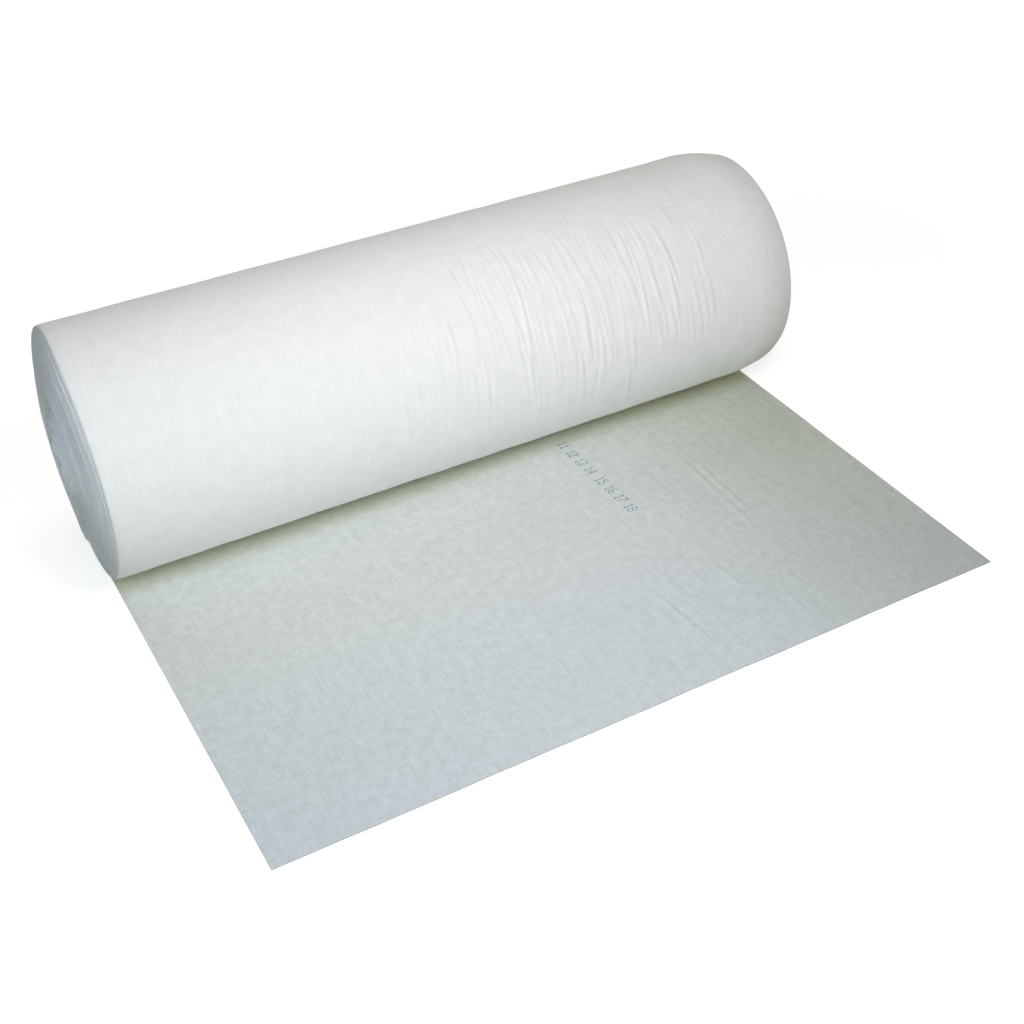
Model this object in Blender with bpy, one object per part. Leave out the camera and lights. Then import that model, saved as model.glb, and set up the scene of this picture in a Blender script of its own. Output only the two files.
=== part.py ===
"""Roll of agricultural fleece: one white nonwoven web wound on a cardboard core, its loose tail laid on the floor.

Frame: the roll's axis runs along X and +Z is up. The origin lies on the floor under the axis, at the middle of
the web's width. The tail is laid towards -Y. The winding and its core roll along Y, and roll the tail out or up.
"""
import math

import bmesh
import bpy
from mathutils import Vector
from mathutils.bvhtree import BVHTree

# Driving dimensions of the web, in metres
WEB_WIDTH = 1.000
WEB_THICKNESS = 0.0015
TAIL_LENGTH = 0.611

# Driving dimensions of the winding, in metres
ROLL_RADIUS = 0.1695
FIRST_STEP = 0.0032
LOOP_GAP = 0.0005

# Counts of the winding: each loop of the solid stands for about three turns of the real web
LOOPS = 24
FACETS = 36

# The free end of the web is one web thick and reaches the full thickness of its loop within this share of a turn
FREE_END_SHARE = 0.25

# Left end of the winding: the turns have slid outwards to a crest, fall back into a groove, and stand out again
# round the mouth of the core
CREST_RADIUS = 0.098
CREST_OUT = 0.013
GROOVE_RADIUS = 0.066
GROOVE_OUT = 0.002
MOUTH_OUT = 0.010

# Loose turns round the mouth of the core, crumpled at the left end
LOOSE_LOOPS = 3
RIPPLE_DEPTH = 0.0035
RIPPLE_LOBES = 5
EDGE_WAVE = 0.003
EDGE_WAVE_LOBES = 4

# Driving dimensions of the cardboard core, in metres: it is cut longer than the web and stands out at both ends
CORE_BORE_RADIUS = 0.038
CORE_WALL = 0.008
CORE_OVERHANG = 0.010

# Clearance between pieces that touch, and of the winding above the floor: the laid sheet carries the roll
SEAT_GAP = 0.0003

# Sizes that follow from the driving dimensions
CORE_RADIUS = CORE_BORE_RADIUS + CORE_WALL
CORE_LENGTH = WEB_WIDTH + 2 * CORE_OVERHANG
INNER_RADIUS = CORE_RADIUS + SEAT_GAP
FACET_ANGLE = 2 * math.pi / FACETS
HALF_FACET = FACET_ANGLE / 2
AXIS_HEIGHT = SEAT_GAP + ROLL_RADIUS * math.cos(HALF_FACET)
NIP_DEPTH = ROLL_RADIUS * math.sin(HALF_FACET)


def clear_scene():
    """Remove every object, so the script can run again in the same file."""
    for obj in list(bpy.data.objects):
        bpy.data.objects.remove(obj, do_unlink=True)


def make_material(name, colour, roughness):
    """Principled material of one plain colour."""
    material = bpy.data.materials.new(name)
    material.use_nodes = True
    shader = material.node_tree.nodes["Principled BSDF"]
    shader.inputs["Base Color"].default_value = (*colour, 1.0)
    shader.inputs["Roughness"].default_value = roughness
    shader.inputs["Metallic"].default_value = 0.0
    return material


def make_piece(name, bm, material, smooth_angle=None, parent=None):
    """Turn a bmesh into a named object, smooth across edges flatter than smooth_angle."""
    bmesh.ops.recalc_face_normals(bm, faces=bm.faces)
    mesh = bpy.data.meshes.new(name)
    bm.to_mesh(mesh)
    bm.free()
    if smooth_angle is not None:
        mesh.shade_smooth()
        mesh.set_sharp_from_angle(angle=smooth_angle)
    mesh.materials.append(material)
    obj = bpy.data.objects.new(name, mesh)
    bpy.context.collection.objects.link(obj)
    obj.parent = parent
    return obj


def make_empty(name, location):
    """Empty that carries the pieces on one joint's axis."""
    empty = bpy.data.objects.new(name, None)
    empty.location = location
    bpy.context.collection.objects.link(empty)
    return empty


def ease(share):
    """Smooth step from 0 to 1 as share goes from 0 to 1."""
    share = min(1.0, max(0.0, share))
    return share * share * (3 - 2 * share)


def outer_radius(loops_in):
    """Radius of the winding's outer side, counted in loops from the free end of the web."""
    depth = ROLL_RADIUS - INNER_RADIUS - WEB_THICKNESS
    spare = depth - FIRST_STEP * LOOPS
    return ROLL_RADIUS - FIRST_STEP * loops_in - spare * (loops_in / LOOPS) ** 2


def looseness(loops_in):
    """How loose the turns are: 0 in the tight winding and 1 in the last loop before the core."""
    return ease((loops_in - (LOOPS - 1 - LOOSE_LOOPS)) / LOOSE_LOOPS)


def ripple(loops_in, angle):
    """Radial crumple of the loose turns at the left end, always away from the core."""
    return RIPPLE_DEPTH * looseness(loops_in) * (1 + math.sin(RIPPLE_LOBES * angle)) / 2


def inner_radius(loops_in):
    """Radius of the winding's inner side: the next loop's outer side with a gap, or the core."""
    if loops_in > LOOPS - 1:
        return INNER_RADIUS
    full = outer_radius(loops_in + 1) + LOOP_GAP
    free_end = outer_radius(loops_in) - WEB_THICKNESS
    return free_end + (full - free_end) * ease(loops_in / FREE_END_SHARE)


def slide_out(radius, loops_in, angle):
    """How far the turn at this radius has slid out of the left end."""
    if radius > CREST_RADIUS:
        return CREST_OUT * ease((ROLL_RADIUS - radius) / (ROLL_RADIUS - CREST_RADIUS))
    if radius > GROOVE_RADIUS:
        share = ease((CREST_RADIUS - radius) / (CREST_RADIUS - GROOVE_RADIUS))
        return CREST_OUT + (GROOVE_OUT - CREST_OUT) * share
    share = ease((GROOVE_RADIUS - radius) / (GROOVE_RADIUS - INNER_RADIUS))
    wave = EDGE_WAVE * looseness(loops_in) * math.sin(EDGE_WAVE_LOBES * angle)
    return GROOVE_OUT + (MOUTH_OUT - GROOVE_OUT) * share + wave


def winding_section(station):
    """Four corners of the web's section at one station: outer left, outer right, inner right, inner left."""
    loops_in = station / FACETS
    angle = HALF_FACET + station * FACET_ANGLE
    outer = outer_radius(loops_in)
    inner = inner_radius(loops_in)
    outer_left = outer + ripple(loops_in, angle)
    inner_left = inner + ripple(loops_in + 1, angle)
    slide = slide_out(outer, loops_in, angle)
    left = -WEB_WIDTH / 2 - slide
    right = WEB_WIDTH / 2 - slide
    around = Vector((0, math.sin(angle), -math.cos(angle)))
    corners = ((left, outer_left), (right, outer), (right, inner), (left, inner_left))
    return [Vector((x, 0, 0)) + around * radius for x, radius in corners]


def least_gap(sections):
    """Least distance from the inner side of the winding to the outer side of the next loop, on points."""
    outer_points = [corner for section in sections for corner in section[:2]]
    outer_faces = [(2 * i, 2 * i + 1, 2 * i + 3, 2 * i + 2) for i in range(len(sections) - 1)]
    outer_side = BVHTree.FromPolygons(outer_points, outer_faces)
    covered = sections[:len(sections) - FACETS]
    gap = ROLL_RADIUS
    for section, following in zip(covered, covered[1:]):
        for corner, next_corner in zip(section[2:], following[2:]):
            for point in (corner, (corner + next_corner) / 2):
                gap = min(gap, outer_side.find_nearest(point)[3])
    return gap


def build_wound_turns(material, parent):
    """The wound web: one unbroken ribbon from its free end on the floor to its start on the core."""
    sections = [winding_section(station) for station in range(LOOPS * FACETS + 1)]
    print(f"least gap between the loops of the winding: {least_gap(sections) * 1000:.3f} mm")
    bm = bmesh.new()
    rings = [[bm.verts.new(corner) for corner in section] for section in sections]
    for ring, following in zip(rings, rings[1:]):
        for corner in range(len(ring)):
            after = (corner + 1) % len(ring)
            bm.faces.new((ring[corner], ring[after], following[after], following[corner]))
    bm.faces.new(reversed(rings[0]))
    bm.faces.new(rings[-1])
    return make_piece("wound_turns", bm, material, 2 * FACET_ANGLE, parent)


def build_core_tube(material, parent):
    """The cardboard core: its wall's section, spun once round the roll's axis."""
    bm = bmesh.new()
    half = CORE_LENGTH / 2
    start = Vector((0, math.sin(HALF_FACET), -math.cos(HALF_FACET)))
    places = ((-half, CORE_BORE_RADIUS), (half, CORE_BORE_RADIUS), (half, CORE_RADIUS), (-half, CORE_RADIUS))
    corners = [bm.verts.new(Vector((x, 0, 0)) + start * radius) for x, radius in places]
    edges = [bm.edges.new((corner, corners[i - 1])) for i, corner in enumerate(corners)]
    bmesh.ops.spin(bm, geom=corners + edges, cent=(0, 0, 0), axis=(1, 0, 0), angle=2 * math.pi,
                   steps=FACETS, use_merge=True)
    return make_piece("core_tube", bm, material, 2 * FACET_ANGLE, parent)


def build_laid_sheet(material):
    """The tail of the web, laid flat from under the roll to its cut edge."""
    rear = NIP_DEPTH - SEAT_GAP
    bm = bmesh.new()
    half = WEB_WIDTH / 2
    places = ((-half, -TAIL_LENGTH), (half, -TAIL_LENGTH), (half, rear), (-half, rear))
    face = bm.faces.new([bm.verts.new((x, y, 0)) for x, y in places])
    raised = bmesh.ops.extrude_face_region(bm, geom=[face])
    top = [item for item in raised["geom"] if isinstance(item, bmesh.types.BMVert)]
    bmesh.ops.translate(bm, verts=top, vec=(0, 0, WEB_THICKNESS))
    return make_piece("laid_sheet", bm, material)


def main():
    """Build the three pieces."""
    clear_scene()
    fleece = make_material("spunbond_fleece", (0.84, 0.86, 0.85), 0.9)
    cardboard = make_material("core_cardboard", (0.47, 0.36, 0.25), 0.85)
    roll_axis = make_empty("roll_axis", (0, 0, AXIS_HEIGHT))
    build_laid_sheet(fleece)
    build_core_tube(cardboard, roll_axis)
    build_wound_turns(fleece, roll_axis)


main()
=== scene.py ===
"""Studio scene of a roll of agricultural fleece: a white nonwoven web on a cardboard core, its tail on the floor.

All lengths are in metres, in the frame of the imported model: the roll's axis runs along X, the tail is laid towards -Y
and +Z is up. Angles round the roll count from the floor through +Y, so 180 degrees is the top and 270 the front.
"""
import logging
import math
from collections.abc import Iterator
from contextlib import contextmanager
from dataclasses import dataclass
from enum import Enum

import bpy
import numpy as np
from bpy.types import Material, Node, NodeSocket, NodeTree, Object
from mathutils import Matrix, Vector


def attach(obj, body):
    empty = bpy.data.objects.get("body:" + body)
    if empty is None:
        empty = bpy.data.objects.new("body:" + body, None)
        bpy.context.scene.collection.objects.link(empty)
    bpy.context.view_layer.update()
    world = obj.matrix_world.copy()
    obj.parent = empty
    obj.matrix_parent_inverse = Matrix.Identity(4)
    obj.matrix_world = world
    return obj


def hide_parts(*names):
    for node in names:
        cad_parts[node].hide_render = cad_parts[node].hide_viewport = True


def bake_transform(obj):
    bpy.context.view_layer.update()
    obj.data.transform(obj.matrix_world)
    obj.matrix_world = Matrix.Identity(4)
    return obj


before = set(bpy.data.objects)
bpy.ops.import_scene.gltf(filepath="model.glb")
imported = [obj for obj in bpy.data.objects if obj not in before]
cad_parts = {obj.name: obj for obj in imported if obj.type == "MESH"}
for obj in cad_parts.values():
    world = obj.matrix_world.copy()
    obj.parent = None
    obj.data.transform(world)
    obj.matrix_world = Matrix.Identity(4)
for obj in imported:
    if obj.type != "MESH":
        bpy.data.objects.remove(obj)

Array = np.ndarray
Pair = tuple[float, float]
Triple = tuple[float, float, float]
LOG = logging.getLogger("fleece_roll")
MM = 0.001
FULL_TURN = 2 * math.pi
# Height of the roll's axis above the floor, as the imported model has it
AXIS_HEIGHT = 0.169155


# Helpers


def linear(hex_colour: str) -> tuple[float, float, float, float]:
    """Turn an sRGB hex colour with a leading hash into linear red, green and blue and an alpha of 1."""
    shares = [int(hex_colour[i:i + 2], 16) / 255 for i in (1, 3, 5)]
    return (*(s / 12.92 if s <= 0.04045 else ((s + 0.055) / 1.055) ** 2.4 for s in shares), 1.0)


def set_inputs(tree: NodeTree, node: Node, inputs: dict) -> None:
    """Set or link a node's inputs.

    Args:
        tree: The node's tree.
        node: The node.
        inputs: A value, or the output socket to link, by the input's name or number.
    """
    for name, value in inputs.items():
        if isinstance(value, NodeSocket):
            tree.links.new(value, node.inputs[name])
        else:
            node.inputs[name].default_value = value


def add_node(tree: NodeTree, kind: str, settings: dict | None = None, inputs: dict | None = None) -> Node:
    """Add one node with its settings and links.

    Args:
        tree: The node tree that gets the node.
        kind: Blender's name of the node's type.
        settings: Values of the node's own properties, by name.
        inputs: What set_inputs takes.

    Returns:
        The new node.
    """
    node = tree.nodes.new(kind)
    for name, value in (settings or {}).items():
        setattr(node, name, value)
    set_inputs(tree, node, inputs or {})
    return node


def start_material(name: str) -> Material:
    """A new material with the shader it starts from."""
    material = bpy.data.materials.new(name)
    material.use_nodes = True
    return material


def weighted_sum(tree: NodeTree, parts: tuple[tuple[NodeSocket, float], ...]) -> NodeSocket:
    """Sum of node outputs, each times its share.

    Args:
        tree: The node tree.
        parts: Pairs of an output and its share.

    Returns:
        The sum.
    """
    total = 0.0
    for socket, share in reversed(parts):
        total = add_node(tree, "ShaderNodeMath", {"operation": "MULTIPLY_ADD"}, {
            0: socket, 1: share, 2: total}).outputs[0]
    return total


def ease(share: Array | float) -> Array:
    """Smooth step from 0 to 1 as share goes from 0 to 1."""
    share = np.clip(share, 0.0, 1.0)
    return share * share * (3 - 2 * share)


def ramp(value: Array | float, begins: float, full: float) -> Array:
    """Smooth step from 0 where the value is at begins to 1 where it is at full, which may be the smaller."""
    return ease((value - begins) / (full - begins))


def read_points(obj: Object) -> Array:
    """The vertices of a mesh object as an array of n by 3."""
    points = np.empty(len(obj.data.vertices) * 3)
    obj.data.vertices.foreach_get("co", points)
    return points.reshape(-1, 3)


def move_points(obj: Object, points: Array) -> None:
    """Put the vertices of a mesh object at new places, given as an array of n by 3."""
    obj.data.vertices.foreach_set("co", points.reshape(-1).astype(np.float32))
    obj.data.update()


def store_web(obj: Object, web: Array, slack: Array | None = None) -> None:
    """Keep each vertex's place on the flat web, which the fleece's pattern follows.

    Args:
        obj: The mesh object.
        web: An array of n by 3: across the web, along it and into its thickness, in metres.
        slack: How slack the web is at each vertex, from 0 to 1, which scales its fine wrinkles.
    """
    for name, kind, part, values in (("web", "FLOAT_VECTOR", "vector", web), ("slack", "FLOAT", "value", slack)):
        if values is not None:
            attribute = obj.data.attributes.new(name, kind, "POINT")
            attribute.data.foreach_set(part, values.reshape(-1).astype(np.float32))


def begin(name: str) -> Object:
    """Name the primitive just added, which is the active object, and return it."""
    bpy.context.object.name = bpy.context.object.data.name = name
    return bpy.context.object


def deselect() -> None:
    """Leave nothing selected, since an operator acts on all that is."""
    bpy.ops.object.select_all(action="DESELECT")


@contextmanager
def editing(obj: Object) -> Iterator[None]:
    """Edit mode on one object alone, with all of it selected, for the length of a with block.

    Args:
        obj: The mesh object.
    """
    deselect()
    bpy.context.view_layer.objects.active = obj
    obj.select_set(True)
    bpy.ops.object.mode_set(mode="EDIT")
    bpy.ops.mesh.select_all(action="SELECT")
    yield
    bpy.ops.object.mode_set(mode="OBJECT")


def finish_mesh(obj: Object, angle_deg: float) -> None:
    """Point the faces outwards, smooth them and put the object's origin at the frame's.

    Args:
        obj: The mesh object.
        angle_deg: Edges sharper than this stay sharp.
    """
    with editing(obj):
        bpy.ops.mesh.normals_make_consistent()
    bpy.ops.object.transform_apply()
    bpy.ops.object.shade_smooth_by_angle(angle=math.radians(angle_deg))


def dress(obj: Object, material: Material) -> None:
    """Give a piece its material."""
    obj.data.materials.append(material)


def report(obj: Object) -> None:
    """Log a piece's name and how many triangles it has."""
    obj.data.calc_loop_triangles()
    LOG.info("%s: %d triangles", obj.name, len(obj.data.loop_triangles))


# Finishes


class FleeceState(Enum):
    """How the web lies, which sets how much shows through it."""
    WOUND = "wound"
    LAID = "laid"


@dataclass(frozen=True)
class PaintedTint:
    """A painted tint of the web, which paints shade or light on it and sets in between two places on the flat web, in
    metres.
    """
    axis: str
    begins: float
    full: float
    colour: str


@dataclass(frozen=True)
class SpunbondFleece:
    """Spunbonded polypropylene fleece: filaments laid down at random and bonded by heat into a soft, matte white web.

    Many layers on the roll look a full white. One layer on the floor lets a little of what is under it show through,
    and looks greyer and cloudier.
    """
    state: FleeceState
    thick_place: str
    thin_place: str
    painted_tints: tuple[PaintedTint, ...]
    # Clouds, flecks and the filaments' streaks, their shares, and which of their sums are thin and thick
    cloud_mm: float = 22.0
    fleck_mm: float = 4.0
    streak_mm: float = 1.6
    streak_length_mm: float = 60.0
    shares: Triple = (0.30, 0.45, 0.25)
    thin_to_thick: Pair = (0.38, 0.62)
    # Filaments are 0.02 mm wide, but 1.5 mm is the finest relief that shows
    fibre_mm: float = 1.5
    fibre_relief_mm: float = 0.22
    fibre_share: float = 0.6
    wrinkle_mm: float = 11.0
    wrinkle_length_mm: float = 130.0
    wrinkle_relief_mm: float = 1.0
    roughness: float = 0.82
    ior: float = 1.49
    specular: float = 0.3
    sheen: float = 0.08
    sheen_roughness: float = 0.5

    def stretched_noise(self, tree: NodeTree, web: NodeSocket, width_mm: float, length_mm: float,
                        kind: str = "FBM") -> NodeSocket:
        """Noise drawn out along the flat web, its kind by Blender's name of the noise's type."""
        place = add_node(tree, "ShaderNodeMapping", {}, {
            "Vector": web, "Scale": (1000 / width_mm, 1000 / length_mm, 1000 / width_mm)}).outputs["Vector"]
        return add_node(tree, "ShaderNodeTexNoise", {"noise_type": kind}, {
            "Vector": place, "Scale": 1.0, "Distortion": 0.35}).outputs[0]

    def colour(self, tree: NodeTree, web: NodeSocket, streak: NodeSocket) -> NodeSocket:
        """Colour of the web: thick and thin places, with the painted tints of its ends and edges, which paint shade and
        light on it.

        Args:
            tree: The material's node tree.
            web: The place on the flat web.
            streak: The filaments' streaks along the web.

        Returns:
            The colour.
        """
        cloud, fleck = (
            add_node(tree, "ShaderNodeTexNoise", {}, {
                "Vector": web, "Scale": 1000 / size, "Detail": 3.0, "Roughness": roughness}).outputs[0]
            for size, roughness in ((self.cloud_mm, 0.55), (self.fleck_mm, 0.65)))
        mixed = weighted_sum(tree, tuple(zip((cloud, fleck, streak), self.shares)))
        thin, thick = self.thin_to_thick
        spread = add_node(tree, "ShaderNodeMapRange", {"interpolation_type": "SMOOTHSTEP"}, {
            "Value": mixed, "From Min": thin, "From Max": thick}).outputs["Result"]
        colour = add_node(tree, "ShaderNodeMix", {"data_type": "RGBA"}, {
            0: spread, 6: linear(self.thin_place), 7: linear(self.thick_place)}).outputs[2]
        place = add_node(tree, "ShaderNodeSeparateXYZ", {}, {"Vector": web}).outputs
        # Each tint multiplies the colour: painted shade and painted light, not a colour of the fleece
        for tint in self.painted_tints:
            share = add_node(tree, "ShaderNodeMapRange", {"interpolation_type": "SMOOTHSTEP"}, {
                "Value": place[tint.axis], "From Min": tint.begins, "From Max": tint.full}).outputs["Result"]
            colour = add_node(tree, "ShaderNodeMix", {"data_type": "RGBA", "blend_type": "MULTIPLY"}, {
                0: share, 6: colour, 7: linear(tint.colour)}).outputs[2]
        return colour

    def material(self) -> Material:
        """Build the material.

        Returns:
            The fleece as a node material, its pattern on the flat web's own coordinates.
        """
        material = start_material(f"spunbond_fleece_{self.state.value}")
        tree = material.node_tree
        web = add_node(tree, "ShaderNodeAttribute", {"attribute_name": "web"}).outputs["Vector"]
        slack = add_node(tree, "ShaderNodeAttribute", {"attribute_name": "slack"}).outputs["Fac"]
        streak = self.stretched_noise(tree, web, self.streak_mm, self.streak_length_mm)
        fibre = add_node(tree, "ShaderNodeTexNoise", {}, {
            "Vector": web, "Scale": 1000 / self.fibre_mm, "Detail": 4.0, "Roughness": 0.65}).outputs[0]
        grain = weighted_sum(tree, ((fibre, self.fibre_share), (streak, 1 - self.fibre_share)))
        wrinkle = add_node(tree, "ShaderNodeMath", {"operation": "MULTIPLY"}, {
            0: self.stretched_noise(tree, web, self.wrinkle_mm, self.wrinkle_length_mm, "RIDGED_MULTIFRACTAL"),
            1: slack}).outputs[0]
        folds = add_node(tree, "ShaderNodeBump", {}, {
            "Distance": self.wrinkle_relief_mm * MM, "Height": wrinkle}).outputs["Normal"]
        bump = add_node(tree, "ShaderNodeBump", {}, {
            "Distance": self.fibre_relief_mm * MM, "Height": grain, "Normal": folds}).outputs["Normal"]
        set_inputs(tree, tree.nodes["Principled BSDF"], {
            "Base Color": self.colour(tree, web, streak), "Normal": bump, "Roughness": self.roughness, "IOR": self.ior,
            "Specular IOR Level": self.specular, "Sheen Weight": self.sheen,
            "Sheen Roughness": self.sheen_roughness})
        return material


@dataclass(frozen=True)
class WoundPaperboard:
    """Spirally wound paperboard: grey-brown recycled plies, matte, with faint fibres that run round it as a helix."""
    face: str = "#B39A7B"
    dark: str = "#94795B"
    fibre_mm: float = 6.0
    # How many times longer than wide a bundle of fibres is, and the plies' slant
    fibre_length: float = 7.0
    slant: float = math.radians(38)
    relief_mm: float = 0.15
    roughness: float = 0.88
    specular: float = 0.3

    def material(self) -> Material:
        """Build the material.

        Returns:
            The paperboard, its fibres on the tube's own unrolled coordinates.
        """
        material = start_material("wound_paperboard")
        tree = material.node_tree
        wrap = add_node(tree, "ShaderNodeAttribute", {"attribute_name": "web"}).outputs["Vector"]
        rate = 1000 / self.fibre_mm
        stretched = add_node(tree, "ShaderNodeMapping", {}, {
            "Vector": wrap, "Rotation": (0.0, 0.0, self.slant),
            "Scale": (rate, rate * self.fibre_length, rate)}).outputs["Vector"]
        fibre = add_node(tree, "ShaderNodeTexNoise", {}, {
            "Vector": stretched, "Scale": 1.0, "Detail": 4.0, "Roughness": 0.6}).outputs[0]
        colour = add_node(tree, "ShaderNodeMix", {"data_type": "RGBA"}, {
            0: fibre, 6: linear(self.dark), 7: linear(self.face)}).outputs[2]
        bump = add_node(tree, "ShaderNodeBump", {}, {
            "Distance": self.relief_mm * MM, "Height": fibre}).outputs["Normal"]
        set_inputs(tree, tree.nodes["Principled BSDF"], {
            "Base Color": colour, "Normal": bump, "Roughness": self.roughness, "Specular IOR Level": self.specular})
        return material


@dataclass(frozen=True)
class MarkingInk:
    """Ink-jet marking ink on fleece: thin blue-grey dots that soak into the filaments, matte and uneven."""
    colour: str = "#4F7BA0"
    faded: str = "#7C9CB4"
    soak_mm: float = 2.5
    roughness: float = 0.9
    specular: float = 0.2

    def material(self) -> Material:
        """Build the material.

        Returns:
            The ink, darker and paler by place.
        """
        material = start_material("marking_ink")
        tree = material.node_tree
        place = add_node(tree, "ShaderNodeTexCoord").outputs["Object"]
        soak = add_node(tree, "ShaderNodeTexNoise", {}, {"Vector": place, "Scale": 1000 / self.soak_mm}).outputs[0]
        colour = add_node(tree, "ShaderNodeMix", {"data_type": "RGBA"}, {
            0: soak, 6: linear(self.colour), 7: linear(self.faded)}).outputs[2]
        set_inputs(tree, tree.nodes["Principled BSDF"], {
            "Base Color": colour, "Roughness": self.roughness, "Specular IOR Level": self.specular})
        return material


# Pieces


@dataclass(frozen=True)
class Crease:
    """One crease of the web: a soft ridge with a shallow valley on its right, along a line of points.

    The line's points are pairs of the place across the roll, in metres, and the angle round it in degrees, or on the
    tail pairs of x and y in metres.
    """
    line: tuple[Pair, ...]
    height_mm: float = 0.56
    width_mm: float = 3.0
    # Share of the line over which it fades in and out
    fade: float = 0.3
    # The valley: its depth as a share of the height, and its place and width in widths of the ridge
    valley_depth: float = 0.55
    valley_place: float = 1.5
    valley_width: float = 0.8

    def relief(self, across: Array, along: Array) -> Array:
        """Height of the crease at points of the web.

        Args:
            across: Places across the web.
            along: Places along the line's second coordinate.

        Returns:
            The height there, in metres.
        """
        stops = np.array(sorted(self.line, key=lambda point: point[1]))
        middle = np.interp(along, stops[:, 1], stops[:, 0])
        span = stops[-1, 1] - stops[0, 1]
        share = (along - stops[0, 1]) / span
        fade = ease(share / self.fade) * ease((1 - share) / self.fade)
        off = (across - middle) / (self.width_mm * MM)
        valley = self.valley_depth * np.exp(-((off - self.valley_place) / self.valley_width) ** 2)
        return self.height_mm * MM * fade * (np.exp(-off ** 2) - valley)


@dataclass(frozen=True)
class FaintCreases:
    """Faint creases drawn at random: how many, and the ranges of their places and sizes.

    The middle has a least and a most, with the likeliest between them if there are three. The start and the length are
    in the units of a Crease's second coordinate.
    """
    count: int
    middle: tuple[float, ...]
    start: Pair
    length: Pair
    lean: Pair
    depth_mm: Pair
    width_mm: Pair

    def relief(self, draw: np.random.Generator, across: Array, along: Array) -> Array:
        """Height of all of them at points of the web.

        Args:
            draw: Where the random numbers come from.
            across: Places across the web.
            along: Places along the creases' second coordinate.

        Returns:
            The height there, in metres.
        """
        height = np.zeros_like(across)
        for _ in range(self.count):
            middle = draw.triangular(*self.middle) if len(self.middle) == 3 else draw.uniform(*self.middle)
            start, length, lean, depth, width = (
                draw.uniform(*ends) for ends in (self.start, self.length, self.lean, self.depth_mm, self.width_mm))
            height += Crease(((middle, start), (middle + lean, start + length)), depth, width).relief(across, along)
        return height


@dataclass(frozen=True)
class Knock:
    """A place of the left end that was pulled out or pushed in: angles in degrees, the rest in metres."""
    angle: float
    radius: float
    angle_width: float
    radius_width: float
    out: float

    def slide(self, radius: Array, degrees: Array) -> Array:
        """How far it moves the web's edge outwards, by radius and angle."""
        off = ((degrees - self.angle + 180) % 360 - 180) / self.angle_width
        return self.out * np.exp(-off ** 2 - ((radius - self.radius) / self.radius_width) ** 2)


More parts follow.
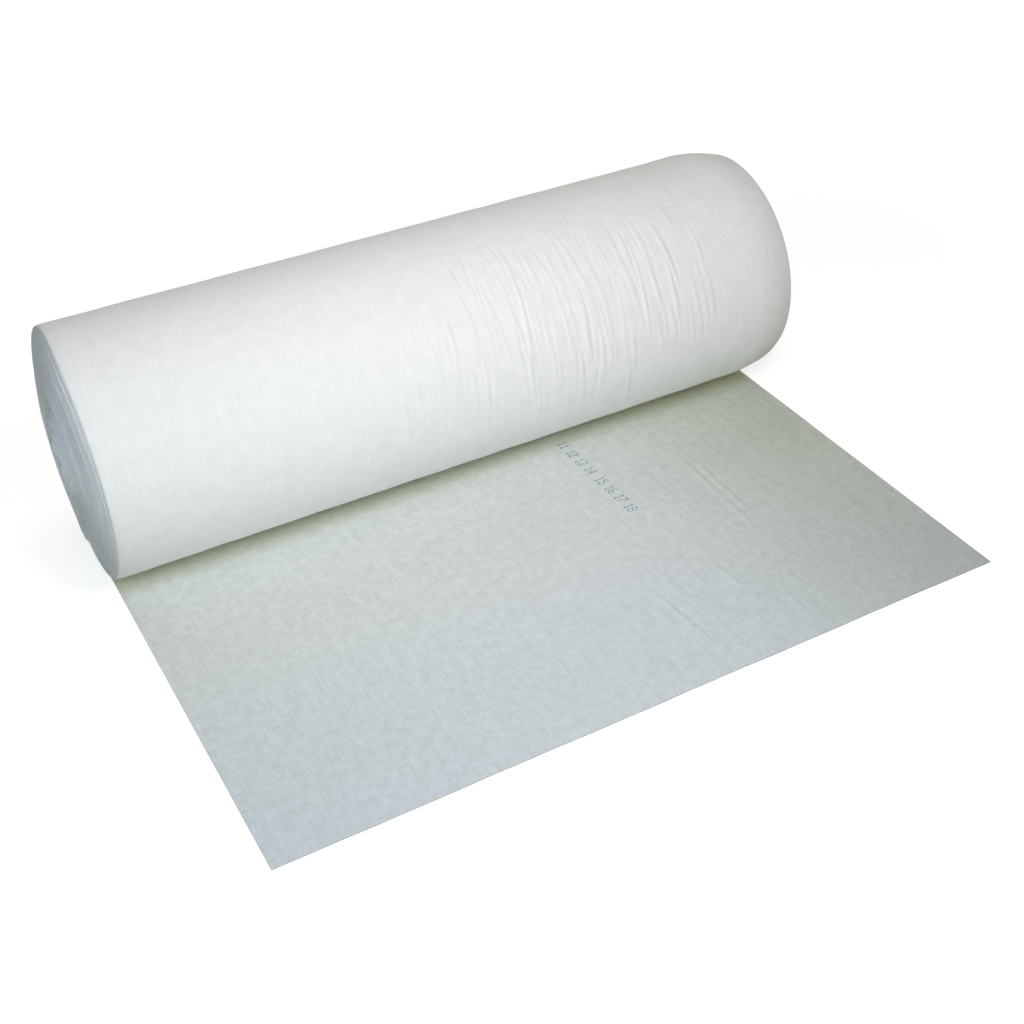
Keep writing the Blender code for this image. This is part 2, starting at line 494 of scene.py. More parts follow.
@dataclass(frozen=True)
class WoundWeb:
    """Where the wound web lies: its spiral, how its edges have slid, and how its ends are squeezed and crumpled.

    A pair named _from holds two values of an angle, a sine, a cosine or a place: where something begins to show and
    where it shows in full.
    """
    radius: float = 0.1695
    first_angle: float = math.radians(5)
    core_radius: float = 0.0463
    thickness: float = 0.00135
    first_drop: float = 0.00195
    first_drop_turns: float = 0.7
    packed_turns: int = 64
    loose_turns: int = 10
    half_width: float = 0.5
    # The roll's ends are free to give above the floor
    free_from: Pair = (8, 60)
    # The left end's near side: a cone at the bottom and a rounded face above, with a lip at the crest
    crest_radius: float = 0.099
    crest_out: float = 0.0115
    cone_power: float = 1.55
    round_from: Pair = (0.75, -0.15)
    face_power: float = 2.4
    fuller_from: Pair = (262, 226)
    crest_lip: float = 0.0052
    lip_width: float = 0.0032
    lip_from: Pair = (285, 250)
    lip_until: Pair = (40, 100)
    # Its far side, where the rim stands further in and the face is rounder
    far_side: float = math.radians(12)
    far_from: Pair = (-0.3, 0.6)
    far_crest_out: float = 0.0152
    far_rim_in: float = 0.0052
    far_power: float = 0.85
    # The groove inside the crest ends at the bottom, where weight presses the turns flush
    groove_radius: float = 0.068
    groove_out: float = 0.0085
    flush_from: Pair = (-0.1, 0.5)
    flush_share: float = 0.85
    # The loose turns stand out most on the near side, where they lean over the mouth of the core
    mouth_out: float = 0.0185
    mouth_lean: float = 0.0062
    mouth_side: float = math.radians(240)
    mouth_before: float = 0.004
    knocks: tuple[Knock, ...] = (Knock(345, 0.109, 16, 0.012, 0.0045), Knock(322, 0.097, 4, 0.0035, -0.0060))
    # Unevenness of the edge from turn to turn: rate to a turn, size in millimetres and start
    wander: tuple[Triple, ...] = (
        (0.37, 0.42, 0.4), (1.13, 0.36, 1.9), (2.71, 0.20, 4.2), (5.37, 0.12, 2.6), (0.137, 0.40, 0.9))
    wander_from: Pair = (0.2, 2.2)
    # The edge of the loose turns waves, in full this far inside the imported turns
    wave: float = 0.0030
    wave_depth: float = 0.008
    # The right end is squeezed in towards its rim, which bulges past the web's width
    right_taper: float = 0.0103
    right_taper_from: float = 0.448
    right_taper_power: float = 1.8
    right_reach: float = 0.508
    right_rim_depth: float = 0.05
    # The left rim is soft
    left_soft: float = 0.0026
    left_soft_from: float = 0.487
    left_soft_width: float = 0.014
    left_rim_depth: float = 0.045
    # Shares up to which both carry on past their ends
    right_past: float = 1.1
    left_past: float = 1.3
    # The top of the soft roll sags a little under its own weight, and less at the squeezed end
    top_sag: float = 0.0026
    less_sag: float = 0.6
    less_sag_from: Pair = (0.38, 0.48)
    # Loose turns bunch and part at the left end: size, lobes, warp and start of each order of the bunching
    bunches: tuple[tuple[float, int, float, float], ...] = (
        (0.50, 2, 0.8, 0.6), (0.28, 5, 0.9, 2.0), (0.20, 9, 1.1, 4.1))
    bunches_from: Pair = (-0.415, -0.495)
    # They fold in over the core past its end
    fold: float = 0.0100
    fold_from: Pair = (-0.513, -0.519)

    @property
    def pitch(self) -> float:
        """Radial distance from turn to turn."""
        depth = self.radius - self.first_drop - self.thickness - self.core_radius
        return depth / (self.packed_turns + self.loose_turns)

    @property
    def loose_radius(self) -> float:
        """Radius inside which the turns are loose."""
        return self.radius - self.first_drop - self.packed_turns * self.pitch

    def turn_radius(self, turn: Array) -> Array:
        """Radius of the web's outer side, counted in turns from the free end."""
        first = self.radius - self.first_drop * ease(turn / self.first_drop_turns)
        return np.where(turn < 1, first, self.radius - self.first_drop - self.pitch * (turn - 1))

    def clear_of_floor(self, angle: Array) -> Array:
        """How free the roll's ends are to give, from 0 on the floor to 1 well above it."""
        from_floor = np.abs((angle + math.pi) % FULL_TURN - math.pi)
        return ramp(np.degrees(from_floor), *self.free_from)

    def slide_out(self, radius: Array, angle: Array) -> Array:
        """How far the turn has slid out of the left end.

        Args:
            radius: Radius of the turn.
            angle: Angle round the roll.

        Returns:
            The slide in metres, outwards.
        """
        degrees = np.degrees(angle) % 360
        share = np.clip((self.radius - radius) / (self.radius - self.crest_radius), 0, 1)
        cone = share ** self.cone_power
        power = self.face_power * (1 + ramp(degrees, *self.fuller_from))
        face = cone + (1 - (1 - share) ** power - cone) * ramp(np.cos(angle), *self.round_from)
        lip = self.crest_lip * ramp(radius, self.crest_radius + self.lip_width, self.crest_radius)
        lip = lip * ramp(degrees, *self.lip_from) * ramp(degrees, *self.lip_until)
        near_climb = self.crest_out * face + lip
        far_climb = self.far_crest_out * share ** self.far_power - self.far_rim_in
        climb = near_climb + (far_climb - near_climb) * ramp(np.sin(angle - self.far_side), *self.far_from)
        fall = ramp(radius, self.crest_radius, self.groove_radius)
        flush = self.flush_share * ramp(np.cos(angle), *self.flush_from)
        packed = climb + (self.groove_out - climb) * fall * (1 - flush)
        for knock in self.knocks:
            packed = packed + knock.slide(radius, np.degrees(angle))
        mouth = self.mouth_out + self.mouth_lean * np.cos(angle - self.mouth_side)
        return packed + (mouth - packed) * ramp(radius, self.loose_radius + self.mouth_before, self.core_radius)

    def edges(self, turn: Array, radius: Array, angle: Array) -> tuple[Array, Array]:
        """Places of the web's two edges along the axis.

        Args:
            turn: Turns from the free end.
            radius: Radius there.
            angle: Angle round the roll there.

        Returns:
            The left edge and the right edge.
        """
        unevenness = MM * sum(size * np.sin(FULL_TURN * rate * turn + start) for rate, size, start in self.wander)
        shift = unevenness * ramp(turn, *self.wander_from) - self.slide_out(radius, angle)
        loose = ramp(radius, self.loose_radius, self.loose_radius - self.wave_depth)
        wave = self.wave * loose * (0.40 * np.sin(3 * angle + 0.7) + 0.60 * np.sin(8 * angle + 1.5 * turn))
        reach = self.right_reach - self.half_width
        bulge = reach * ramp(radius, self.radius - self.right_rim_depth, self.radius)
        return shift + wave - self.half_width, shift + self.half_width + bulge * self.clear_of_floor(angle)

    def crumple(self, radius: Array, angle: Array, x: Array) -> Array:
        """Radius of a loose turn after crumpling: turns bunch, part and fold over the core, but keep their order.

        Args:
            radius: Radius before crumpling.
            angle: Angle round the roll.
            x: Place along the axis.

        Returns:
            The crumpled radius.
        """
        depth = self.loose_radius - self.core_radius
        share = np.clip((radius - self.core_radius) / depth, 0, 1)
        shift = sum(size * np.sin(lobes * angle + warp * np.sin(order * angle) + start)
                    * np.sin(order * math.pi * share) / (order * math.pi)
                    for order, (size, lobes, warp, start) in enumerate(self.bunches, 1))
        lobes = 0.62 + 0.38 * np.sin(4 * angle + 1.1 + 0.9 * np.sin(2 * angle))
        fold = self.fold * ramp(x, *self.fold_from) * lobes * (1 - share) ** 2
        crumpled = radius + depth * ramp(x, *self.bunches_from) * shift - fold
        return np.where(radius < self.loose_radius, crumpled, radius)

    def settle(self, radius: Array, angle: Array, x: Array) -> Array:
        """Radius after the ends have given: the right end is squeezed in and the left rim is soft.

        Args:
            radius: Radius in the even winding.
            angle: Angle round the roll.
            x: Place along the axis.

        Returns:
            The settled radius.
        """
        depth = np.clip((radius - self.core_radius) / (self.radius - self.core_radius), 0, 1)
        past = (x - self.right_taper_from) / (self.right_reach - self.right_taper_from)
        right = self.right_taper * np.clip(past, 0, self.right_past) ** self.right_taper_power
        rim = np.clip((radius - self.radius + self.left_rim_depth) / self.left_rim_depth, 0, 1)
        past = (-self.left_soft_from - x) / self.left_soft_width
        left = self.left_soft * np.clip(past, 0, self.left_past) ** 2
        sag = self.top_sag * np.clip(-np.cos(angle), 0, 1) ** 2 * (1 - self.less_sag * ramp(x, *self.less_sag_from))
        settled = radius - self.clear_of_floor(angle) * (right * depth + left * rim) - sag * depth
        return self.crumple(settled, angle, x)

    def place(self, x: Array, radius: Array, angle: Array) -> Array:
        """Points of the frame from places along the axis, radii and angles."""
        return np.stack([x, np.sin(angle) * radius, AXIS_HEIGHT - np.cos(angle) * radius], axis=-1)


@dataclass(frozen=True)
class WebSection:
    """Outline of the web's section: points on its outer side from left to right, a tip, its inner side, and a tip.

    near_left counts from the left edge inwards, fixed are places along the axis, and near_right counts from the right
    edge inwards, all in metres.
    """
    near_left: tuple[float, ...]
    fixed: tuple[float, ...]
    near_right: tuple[float, ...]

    def across(self, left: Array, right: Array) -> Array:
        """Places along the axis of one side's points, as stations by points, from the edges at each station."""
        inner = [left + step for step in self.near_left] + [np.full_like(left, x) for x in self.fixed]
        return np.stack(inner + [right - step for step in self.near_right], axis=1)


@dataclass
class Winding:
    """The wound part of the web, a ribbon in three lengths: the outer turn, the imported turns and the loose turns."""
    web: WoundWeb = WoundWeb()
    outer_steps: int = 120
    packed_steps: int = 90
    loose_steps: int = 180
    # The outer turn has many points across for its creases, and the loose turns have many on the left
    packed: WebSection = WebSection((0.00022, 0.005, 0.014), (0.448, 0.475), (0.014, 0.0006))
    outer: WebSection = WebSection((0.0007, 0.003, 0.006, 0.0095, 0.013), tuple(np.linspace(-0.484, 0.490, 700)),
                                   (0.012, 0.008, 0.004, 0.0006))
    loose: WebSection = WebSection((0.00030, 0.003, 0.006, 0.010, 0.015, 0.022, 0.032, 0.046, 0.066, 0.090),
                                   (0.0, 0.448), (0.0006,))
    seed: int = 7
    creases: tuple[Crease, ...] = (
        Crease(((0.027, 194), (0.022, 217))), Crease(((0.035, 216), (0.032, 244))),
        Crease(((0.083, 202), (0.080, 228), (0.070, 274)), 1.05, 3.4), Crease(((0.102, 206), (0.098, 242))),
        Crease(((0.136, 237), (0.140, 259), (0.143, 276)), 0.62, 3.0), Crease(((0.213, 203), (0.205, 222))),
        Crease(((0.255, 205), (0.253, 234))), Crease(((0.277, 219), (0.282, 254)), 0.99, 3.4),
        Crease(((0.307, 205), (0.313, 238), (0.314, 247)), 1.05, 3.8), Crease(((0.304, 231), (0.311, 253)), 0.50, 2.6),
        Crease(((-0.047, 207), (-0.054, 229)), 0.50, 3.0), Crease(((-0.023, 216), (-0.030, 243), (-0.033, 263))),
        Crease(((0.363, 220), (0.360, 244))), Crease(((0.316, 276), (0.301, 296)), 0.50, 3.0),
        Crease(((0.015, 243), (0.011, 258)), 0.43, 2.6), Crease(((0.150, 261), (0.153, 277)), 0.50, 2.6),
        Crease(((0.203, 255), (0.207, 284)), 0.50, 3.0),
    )
    # The slack gathers right of the middle, and faint creases stray over the rest
    faint: tuple[FaintCreases, ...] = (
        FaintCreases(130, (-0.14, 0.12, 0.46), (194, 262), (16, 46), (-0.004, 0.016), (0.20, 0.66), (2.0, 4.2)),
        FaintCreases(100, (-0.47, 0.47), (25, 300), (16, 46), (-0.004, 0.016), (0.06, 0.26), (2.0, 4.2)),
    )
    # Soft lumps, with up to so many lobes round the roll
    lumps: int = 14
    lump_length: Pair = (0.05, 0.16)
    lump_lobes: int = 6
    lump_mm: Pair = (0.03, 0.09)
    deepest_mm: float = 0.8
    # Degrees from the floor over which the web, pressed flat there, gets its relief
    pressed_until: Pair = (12, 26)
    # Angle of the web that touches the floor when the roll is all the way forward, and its room there
    forward_rest: float = 275.5
    forward_room_mm: float = 0.04
    forward_share: float = 0.9

    def wind(self, name: str, section: WebSection, inner: WebSection, first_turn: int, turns: int,
             steps: int) -> Object:
        """Wind one length of the web: a ring turned by a Screw into a ribbon, laid on the spiral and closed.

        Args:
            name: The piece's name.
            section: Points of the outer side.
            inner: Points of the inner side.
            first_turn: Where the length starts, in turns from the free end.
            turns: How many turns it has.
            steps: Stations to a turn.

        Returns:
            The new object, with the place on the web kept for its material.
        """
        turn = first_turn + np.arange(turns * steps + 1) / steps
        angle = self.web.first_angle + FULL_TURN * turn
        radius = self.web.turn_radius(turn)
        left, right = self.web.edges(turn, radius, angle)
        outer_x = section.across(left, right)
        inner_x = inner.across(left, right)[:, ::-1]
        x = np.concatenate([outer_x, right[:, None], inner_x, left[:, None]], axis=1)
        deselect()
        bpy.ops.mesh.primitive_circle_add(vertices=x.shape[1], radius=self.web.half_width)
        obj = begin(name)
        screw = obj.modifiers.new("wound", "SCREW")
        screw.axis = "X"
        screw.angle = FULL_TURN
        screw.screw_offset = self.web.thickness
        screw.steps = screw.render_steps = steps
        screw.iterations = turns
        screw.use_merge_vertices = False
        bpy.ops.object.modifier_apply(modifier=screw.name)
        thick = self.web.thickness
        tip = np.full((len(turn), 1), thick / 2)
        sink = np.concatenate([np.zeros_like(outer_x), tip, np.full_like(inner_x, thick), tip], axis=1)
        around = angle[:, None]
        settled = self.web.settle(radius[:, None] - sink, around, x)
        if first_turn < 1:
            on_top = np.arange(x.shape[1]) < outer_x.shape[1]
            settled = settled + self.relief(x, around) * on_top
        move_points(obj, self.web.place(x, settled, np.broadcast_to(around, x.shape)))
        length = np.concatenate([[0], np.cumsum((radius[1:] + radius[:-1]) / 2 * FULL_TURN / steps)])
        length += FULL_TURN * first_turn * (self.web.radius + radius[0]) / 2
        web = np.stack([x, np.broadcast_to(length[:, None], x.shape), sink], axis=-1)
        store_web(obj, web, self.slack(x, np.degrees(around) % 360) * (first_turn < 1))
        with editing(obj):
            bpy.ops.mesh.select_all(action="DESELECT")
            bpy.ops.mesh.select_mode(type="EDGE")
            bpy.ops.mesh.select_non_manifold()
            bpy.ops.mesh.fill_holes(sides=0)
        finish_mesh(obj, angle_deg=50)
        return obj

    def slack(self, x: Array, degrees: Array) -> Array:
        """How slack the outer turn is, from 0 to 1: most right of the middle, from its top down to its front."""
        across = 0.2 + 0.8 * ramp(x, -0.30, 0.0) * ramp(x, 0.47, 0.27)
        return across * (0.2 + 0.8 * ramp(degrees, 188, 223) * ramp(degrees, 300, 240))

    def relief(self, x: Array, angle: Array) -> Array:
        """Creases and slack of the outer turn.

        Args:
            x: Places along the axis.
            angle: Angles round the roll.

        Returns:
            How far the web stands off its even radius, in metres.
        """
        degrees = np.degrees(angle) % 360 + np.zeros_like(x)
        height = sum(crease.relief(x, degrees) for crease in self.creases)
        draw = np.random.default_rng(self.seed)
        for faint in self.faint:
            height += faint.relief(draw, x, degrees)
        for _ in range(self.lumps):
            across = FULL_TURN / draw.uniform(*self.lump_length)
            lobes = draw.integers(1, self.lump_lobes + 1)
            phase = draw.uniform(0, FULL_TURN, 2)
            wave = np.sin(across * x + phase[0]) * np.sin(lobes * angle + phase[1])
            height += draw.uniform(*self.lump_mm) * MM * wave
        on_floor = ramp(np.minimum(degrees, 360 - degrees), *self.pressed_until)
        height = np.maximum(height, -self.deepest_mm * MM) * on_floor
        room = self.forward_share * self.web.radius * (1 - np.cos(np.radians(degrees - self.forward_rest)))
        return np.minimum(height, self.forward_room_mm * MM + room)

    def build(self, fleece: Material) -> None:
        """Build the three lengths and dress them.

        Args:
            fleece: The wound web's material.
        """
        web = self.web
        pieces = [
            self.wind("outer_turn", self.outer, self.packed, 0, 1, self.outer_steps),
            self.wind("packed_turns", self.packed, self.packed, 1, web.packed_turns, self.packed_steps),
            self.wind("loose_turns", self.loose, self.loose, 1 + web.packed_turns, web.loose_turns, self.loose_steps),
        ]
        for piece in pieces:
            dress(piece, fleece)
            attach(piece, "winding")
            report(piece)
        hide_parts("wound_turns")


@dataclass
class Tail:
    """The tail of the web, laid flat on the floor from under the roll to its cut edge."""
    width: float = 1.0
    length: float = 0.611
    rear: float = 0.01447
    thickness: float = 0.0015
    columns: int = 380
    rows: int = 232
    # Drift to the right of both edges at the roll, and to the left of the right corner
    left_drift: float = 0.0042
    right_drift: float = 0.0058
    corner_drift: float = 0.0058
    # The cut edge wanders: sizes, and rates in radians to a metre
    cut_waves: tuple[Pair, ...] = ((0.0003, 23), (0.00015, 71))
    seed: int = 11
    creases: tuple[Crease, ...] = (
        Crease(((0.087, -0.425), (0.101, -0.593)), 1.0, 4.0),
        Crease(((0.290, -0.196), (0.279, -0.424)), 0.9, 4.0),
        Crease(((0.303, -0.215), (0.294, -0.400)), 0.6, 3.5),
        Crease(((0.138, -0.111), (0.141, -0.189)), 0.7, 4.0),
        Crease(((0.186, -0.408), (0.191, -0.498)), 0.9, 4.0),
        Crease(((-0.493, -0.367), (-0.484, -0.437)), 0.7, 3.0),
    )
    faint: FaintCreases = FaintCreases(
        46, (-0.46, 0.46), (-0.60, -0.10), (0.04, 0.16), (-0.012, 0.012), (0.10, 0.35), (3.0, 6.0))
    lumps: int = 16
    lump_across: Pair = (0.06, 0.22)
    lump_along: Pair = (0.12, 0.5)
    lump_mm: Pair = (0.04, 0.14)
    deepest_mm: float = 0.9
    # Where its relief and its fine wrinkles set in: it is flat at the roll
    relief_from: Pair = (-0.035, -0.085)
    slack_from: Pair = (-0.08, -0.16)
    slack_least: float = 0.35

    def drift(self, x: Array, y: Array) -> Array:
        """How far the web has drifted to the right, which is less towards its cut end and its right edge there."""
        far, right = -y / self.length, x / self.width + 0.5
        return (self.left_drift * (1 - right) + self.right_drift * right) * (1 - far) - self.corner_drift * right * far

    def relief(self, x: Array, y: Array) -> Array:
        """Creases and slack of the laid web.

        Args:
            x: Places across the web.
            y: Places along it.

        Returns:
            How far its top stands off one thickness above the floor, in metres.
        """
        draw = np.random.default_rng(self.seed)
        height = sum(crease.relief(x, y) for crease in self.creases) + self.faint.relief(draw, x, y)
        for _ in range(self.lumps):
            across = FULL_TURN / draw.uniform(*self.lump_across)
            along = FULL_TURN / draw.uniform(*self.lump_along)
            phase = draw.uniform(0, FULL_TURN, 2)
            wave = np.sin(across * x + phase[0]) * np.sin(along * y + phase[1])
            height += draw.uniform(*self.lump_mm) * MM * wave
        return np.maximum(height, -self.deepest_mm * MM) * ramp(y, *self.relief_from)

    def build(self, fleece: Material) -> None:
        """Build the tail and dress it.

        Args:
            fleece: The laid web's material.
        """
        span = self.length + self.rear
        deselect()
        bpy.ops.mesh.primitive_grid_add(x_subdivisions=self.columns, y_subdivisions=self.rows, size=1.0,
                                        location=(0, (self.rear - self.length) / 2, 0))
        obj = begin("tail_sheet")
        obj.scale = (self.width, span, 1)
        bpy.ops.object.transform_apply()
        with editing(obj):
            bpy.ops.mesh.region_to_loop()
            bpy.ops.mesh.extrude_region_move(TRANSFORM_OT_translate={"value": (0, 0, -self.thickness)})
            bpy.ops.mesh.edge_face_add()
        points = read_points(obj)
        top = points[:, 2] > -self.thickness / 2
        flat = points.copy()
        points[:, 0] += self.drift(points[:, 0], points[:, 1])
        height = self.thickness + self.relief(points[:, 0], points[:, 1])
        points[:, 2] = np.where(top, height, 0.0)
        cut = np.isclose(points[:, 1], -self.length, rtol=0, atol=1e-5)
        points[:, 1] += cut * sum(size * np.sin(rate * points[:, 0]) for size, rate in self.cut_waves)
        move_points(obj, points)
        more = ramp(points[:, 0], -0.25, 0.05) * ramp(points[:, 1], *self.slack_from)
        slack = self.slack_least + (1 - self.slack_least) * more
        store_web(obj, np.stack([flat[:, 0], flat[:, 1] - self.rear, -flat[:, 2]], axis=-1), slack)
        finish_mesh(obj, angle_deg=50)
        dress(obj, fleece)
        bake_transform(obj)
        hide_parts("laid_sheet")
        report(obj)


@dataclass
class MetrePrint:
    """Generic running numbers as dots of ink on the tail, where the real web carries a row of marking."""
    tail: Tail
    text: tuple[tuple[float, str], ...] = ((-0.085, "11 12 13 14"), (-0.189, "15 16 17 18"))
    middle_x: float = 0.164
    height: float = 0.0140
    advance: float = 0.0083
    # Width of a digit as a share of the advance
    digit_width: float = 0.72
    dot: float = 0.00095
    film: float = 0.00008
    # The dots of the digits 1 to 8, in seven rows of five
    digits: tuple[str, ...] = (
        "00100 01100 00100 00100 00100 00100 01110", "01110 10001 00001 00110 01000 10000 11111",
        "01110 10001 00001 00110 00001 10001 01110", "00010 00110 01010 10010 11111 00010 00010",
        "11111 10000 11110 00001 00001 10001 01110", "00110 01000 10000 11110 10001 10001 01110",
        "11111 00001 00010 00100 01000 01000 01000", "01110 10001 10001 01110 10001 10001 01110",
    )

    def dots(self) -> Array:
        """Places of the dots, read along the web with their tops towards +X.

        Returns:
            An array of n by 2, x and y.
        """
        found = []
        row_step = self.height / 6
        column_step = self.advance * self.digit_width / 4
        for start, line in self.text:
            for number, digit in enumerate(line):
                rows = "" if digit == " " else self.digits[int(digit) - 1]
                found += [(self.middle_x + self.height / 2 - row * row_step,
                           start - number * self.advance - column * column_step)
                          for row, bits in enumerate(rows.split()) for column, bit in enumerate(bits) if bit == "1"]
        return np.array(found)

    def build(self, ink: Material) -> None:
        """Build the row of numbers as one piece and dress it.

        Args:
            ink: The ink's material.
        """
        deselect()
        bpy.ops.mesh.primitive_circle_add(vertices=8, radius=self.dot, fill_type="NGON")
        obj = begin("metre_print")
        with editing(obj):
            bpy.ops.mesh.extrude_region_move(TRANSFORM_OT_translate={"value": (0, 0, self.film)})
        base = read_points(obj)
        places = self.dots()
        dots = [obj]
        for _ in places[1:]:
            dots.append(bpy.data.objects.new("metre_print_dot", obj.data.copy()))
            bpy.context.collection.objects.link(dots[-1])
        heights = self.tail.thickness + self.tail.relief(places[:, 0], places[:, 1])
        for dot, (x, y), z in zip(dots, places, heights):
            move_points(dot, base + np.array([x, y, z]))
            dot.select_set(True)
        bpy.ops.object.join()
        finish_mesh(obj, angle_deg=30)
        dress(obj, ink)
        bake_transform(obj)
        report(obj)


@dataclass
class CoreTube:
    """The cardboard core: a spirally wound tube, cut a little longer than the web."""
    bore_radius: float = 0.038
    wall: float = 0.008
    half_length: float = 0.51
    segments: int = 128
    edge: float = 0.0006

    def build(self, board: Material) -> None:
        """Build the core and dress it.

        Args:
            board: The paperboard's material.
        """
        deselect()
        bpy.ops.mesh.primitive_circle_add(vertices=4, radius=self.bore_radius)
        obj = begin("core_board")
        end, bore, rim = self.half_length, self.bore_radius, self.bore_radius + self.wall
        move_points(obj, np.array([(-end, 0, -bore), (end, 0, -bore), (end, 0, -rim), (-end, 0, -rim)]))
        with editing(obj):
            bpy.ops.mesh.bevel(offset=self.edge, segments=2, affect="VERTICES")
            bpy.ops.mesh.select_all(action="SELECT")
            bpy.ops.mesh.spin(steps=self.segments, angle=FULL_TURN, axis=(1, 0, 0))
            bpy.ops.mesh.select_all(action="SELECT")
            bpy.ops.mesh.remove_doubles(threshold=0.00001)
        points = read_points(obj)
        radius = np.hypot(points[:, 1], points[:, 2])
        angle = np.arctan2(points[:, 1], -points[:, 2])
        store_web(obj, np.stack([points[:, 0], angle * self.bore_radius, radius], axis=-1))
        points[:, 2] += AXIS_HEIGHT
        move_points(obj, points)
        finish_mesh(obj, angle_deg=40)
        dress(obj, board)
        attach(obj, "core")
        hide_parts("core_tube")
        report(obj)


# The studio


@dataclass(frozen=True)
class SoftLamp:
    """One square soft lamp."""
    name: str
    place: Triple
    size: float
    power: float
    colour: str


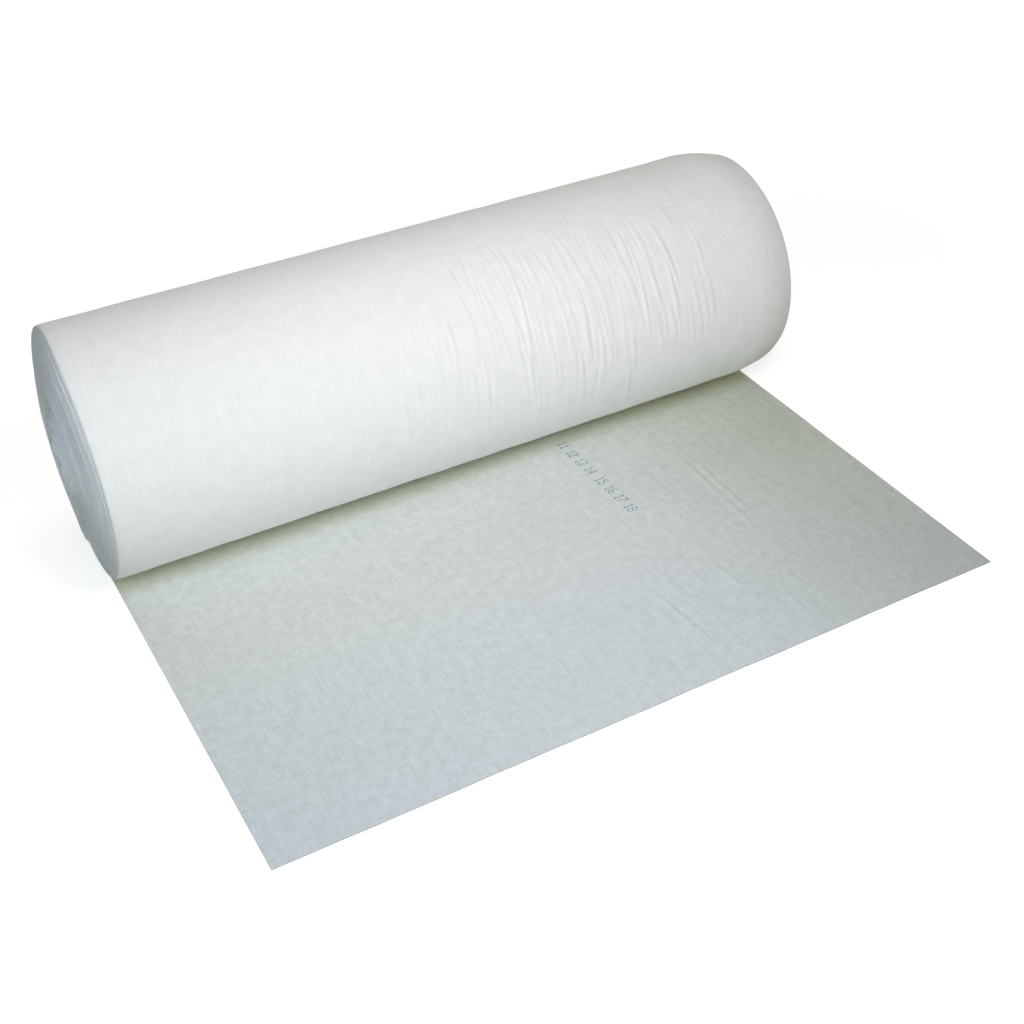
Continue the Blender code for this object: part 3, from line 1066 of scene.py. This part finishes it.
@dataclass
class Studio:
    """A pale floor that the camera sees white, a faint even surround and five soft lamps."""
    ambient: float = 0.20
    ambient_colour: str = "#FFFAF4"
    lamp_target: Triple = (-0.15, -0.05, 0.20)
    lamps: tuple[SoftLamp, ...] = (
        SoftLamp("key_lamp", (-0.04, -0.90, 1.00), 0.5, 6.9, "#FFFDFE"),
        SoftLamp("front_lamp", (-0.20, -2.60, 0.36), 0.7, 4.9, "#FFFAF4"),
        SoftLamp("low_lamp", (-1.05, -1.85, 0.20), 0.35, 3.2, "#EDF8FA"),
        SoftLamp("left_lamp", (-1.70, -1.18, 1.35), 1.5, 13.2, "#E0F0FD"),
        SoftLamp("rear_lamp", (0.25, 1.00, 1.60), 1.5, 7.6, "#FFF6EE"),
    )
    # The floor's colour as the web sees it, and the grey that the camera sees under its lift
    floor_colour: str = "#A9AD9C"
    floor_grey: float = 0.8
    floor_lift: float = 0.64
    # The floor turns plain white between these distances from the roll
    floor_fade: Pair = (0.9, 2.2)
    floor_size: float = 24.0
    floor_drop: float = 0.0001

    def seen_directly(self, tree: NodeTree) -> NodeSocket:
        """A factor of 1 for rays from the camera, from gloss and through glass.

        Args:
            tree: The node tree.

        Returns:
            The factor.
        """
        path = add_node(tree, "ShaderNodeLightPath").outputs
        seen = path["Is Camera Ray"]
        for ray in ("Is Glossy Ray", "Is Transmission Ray"):
            seen = add_node(tree, "ShaderNodeMath", {"operation": "MAXIMUM"}, {0: seen, 1: path[ray]}).outputs[0]
        return seen

    def build_world(self) -> None:
        """Light the scene evenly, and show the camera plain white."""
        world = bpy.data.worlds.new("studio_surround")
        bpy.context.scene.world = world
        world.use_nodes = True
        tree = world.node_tree
        tree.nodes.clear()
        seen = self.seen_directly(tree)
        lit = add_node(tree, "ShaderNodeBackground", {}, {
            "Color": linear(self.ambient_colour), "Strength": self.ambient}).outputs[0]
        white = add_node(tree, "ShaderNodeBackground", {}, {"Color": (1, 1, 1, 1)}).outputs[0]
        mixed = add_node(tree, "ShaderNodeMixShader", {}, {0: seen, 1: lit, 2: white}).outputs[0]
        add_node(tree, "ShaderNodeOutputWorld", {}, {"Surface": mixed})

    def build_floor(self) -> None:
        """Lay the floor just under the web."""
        deselect()
        bpy.ops.mesh.primitive_plane_add(size=self.floor_size, location=(0, 0, -self.floor_drop))
        floor = begin("studio_floor")
        material = start_material("studio_floor")
        tree = material.node_tree
        tree.nodes.clear()
        seen = self.seen_directly(tree)
        plain = add_node(tree, "ShaderNodeBsdfDiffuse", {}, {"Color": linear(self.floor_colour)}).outputs[0]
        pale = add_node(tree, "ShaderNodeBsdfDiffuse", {}, {"Color": (*(self.floor_grey,) * 3, 1)}).outputs[0]
        place = add_node(tree, "ShaderNodeTexCoord").outputs["Object"]
        distance = add_node(tree, "ShaderNodeVectorMath", {"operation": "LENGTH"}, {0: place}).outputs["Value"]
        near, far = self.floor_fade
        strength = add_node(tree, "ShaderNodeMapRange", {"interpolation_type": "SMOOTHSTEP"}, {
            "Value": distance, "From Min": near, "From Max": far, "To Min": self.floor_lift}).outputs["Result"]
        lift = add_node(tree, "ShaderNodeEmission", {}, {"Color": (1, 1, 1, 1), "Strength": strength}).outputs[0]
        lifted = add_node(tree, "ShaderNodeAddShader", {}, {0: pale, 1: lift}).outputs[0]
        mixed = add_node(tree, "ShaderNodeMixShader", {}, {0: seen, 1: plain, 2: lifted}).outputs[0]
        add_node(tree, "ShaderNodeOutputMaterial", {}, {"Surface": mixed})
        floor.data.materials.append(material)

    def build(self) -> None:
        """Build the floor, the surround and the lamps, which aim at the roll."""
        self.build_world()
        self.build_floor()
        for lamp in self.lamps:
            data = bpy.data.lights.new(lamp.name, "AREA")
            data.shape = "SQUARE"
            data.size = lamp.size
            data.energy = lamp.power
            data.color = linear(lamp.colour)[:3]
            obj = bpy.data.objects.new(lamp.name, data)
            bpy.context.collection.objects.link(obj)
            obj.location = lamp.place
            obj.rotation_euler = (Vector(self.lamp_target) - obj.location).to_track_quat("-Z", "Y").to_euler()
            obj.visible_camera = False
        bpy.context.scene.view_settings.view_transform = "Standard"


@dataclass
class StudioCamera:
    """The camera as it stood for the photograph: standing height, in front of the roll and to its left."""
    place: Triple = (-0.7639, -1.6573, 1.2195)
    azimuth: float = math.radians(28.21)
    elevation: float = math.radians(36.28)
    roll: float = math.radians(-1.96)
    lens: float = 53.03
    sensor: float = 36.0
    clip: Pair = (0.05, 60.0)

    def build(self) -> None:
        """Set the camera up and make it the scene's."""
        data = bpy.data.cameras.new("photo_camera")
        data.lens = self.lens
        data.sensor_width = self.sensor
        data.clip_start, data.clip_end = self.clip
        camera = bpy.data.objects.new("photo_camera", data)
        bpy.context.collection.objects.link(camera)
        camera.matrix_world = (
            Matrix.Translation(self.place) @ Matrix.Rotation(-self.azimuth, 4, "Z")
            @ Matrix.Rotation(math.pi / 2 - self.elevation, 4, "X") @ Matrix.Rotation(self.roll, 4, "Z"))
        bpy.context.scene.camera = camera


def main() -> None:
    """Build the roll, the studio and the camera."""
    logging.basicConfig(level=logging.INFO, format="%(message)s")
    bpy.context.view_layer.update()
    wound = SpunbondFleece(FleeceState.WOUND, thick_place="#F1F2F2", thin_place="#E9EBEA", painted_tints=(
        # Painted shade: a cool tint on the edges of the turns inside the roll, for the light lost between the layers
        PaintedTint("Y", 1.05, 1.10, "#F7FAFE"),
    )).material()
    laid = SpunbondFleece(FleeceState.LAID, thick_place="#EAEEEB", thin_place="#D6DBD7", painted_tints=(
        # Painted shade: the web a little greyer and cooler towards its cut end
        PaintedTint("Y", -0.10, -0.62, "#E3E8F0"),
        # Painted shade and light: a warm tint beside the roll, for the tinted shade there and light that has passed
        # through the turns above
        PaintedTint("Y", -0.122, -0.076, "#FAFBE4"),
        # Painted shade: greyer and greener towards the right edge, where less light falls
        PaintedTint("X", 0.10, 0.46, "#EFF0E6"),
    ), cloud_mm=13.0, fleck_mm=2.6, wrinkle_relief_mm=0.8).material()
    tail = Tail()
    tail.build(laid)
    MetrePrint(tail).build(MarkingInk().material())
    Winding().build(wound)
    CoreTube().build(WoundPaperboard().material())
    StudioCamera().build()
    Studio().build()


if __name__ == "__main__":
    main()
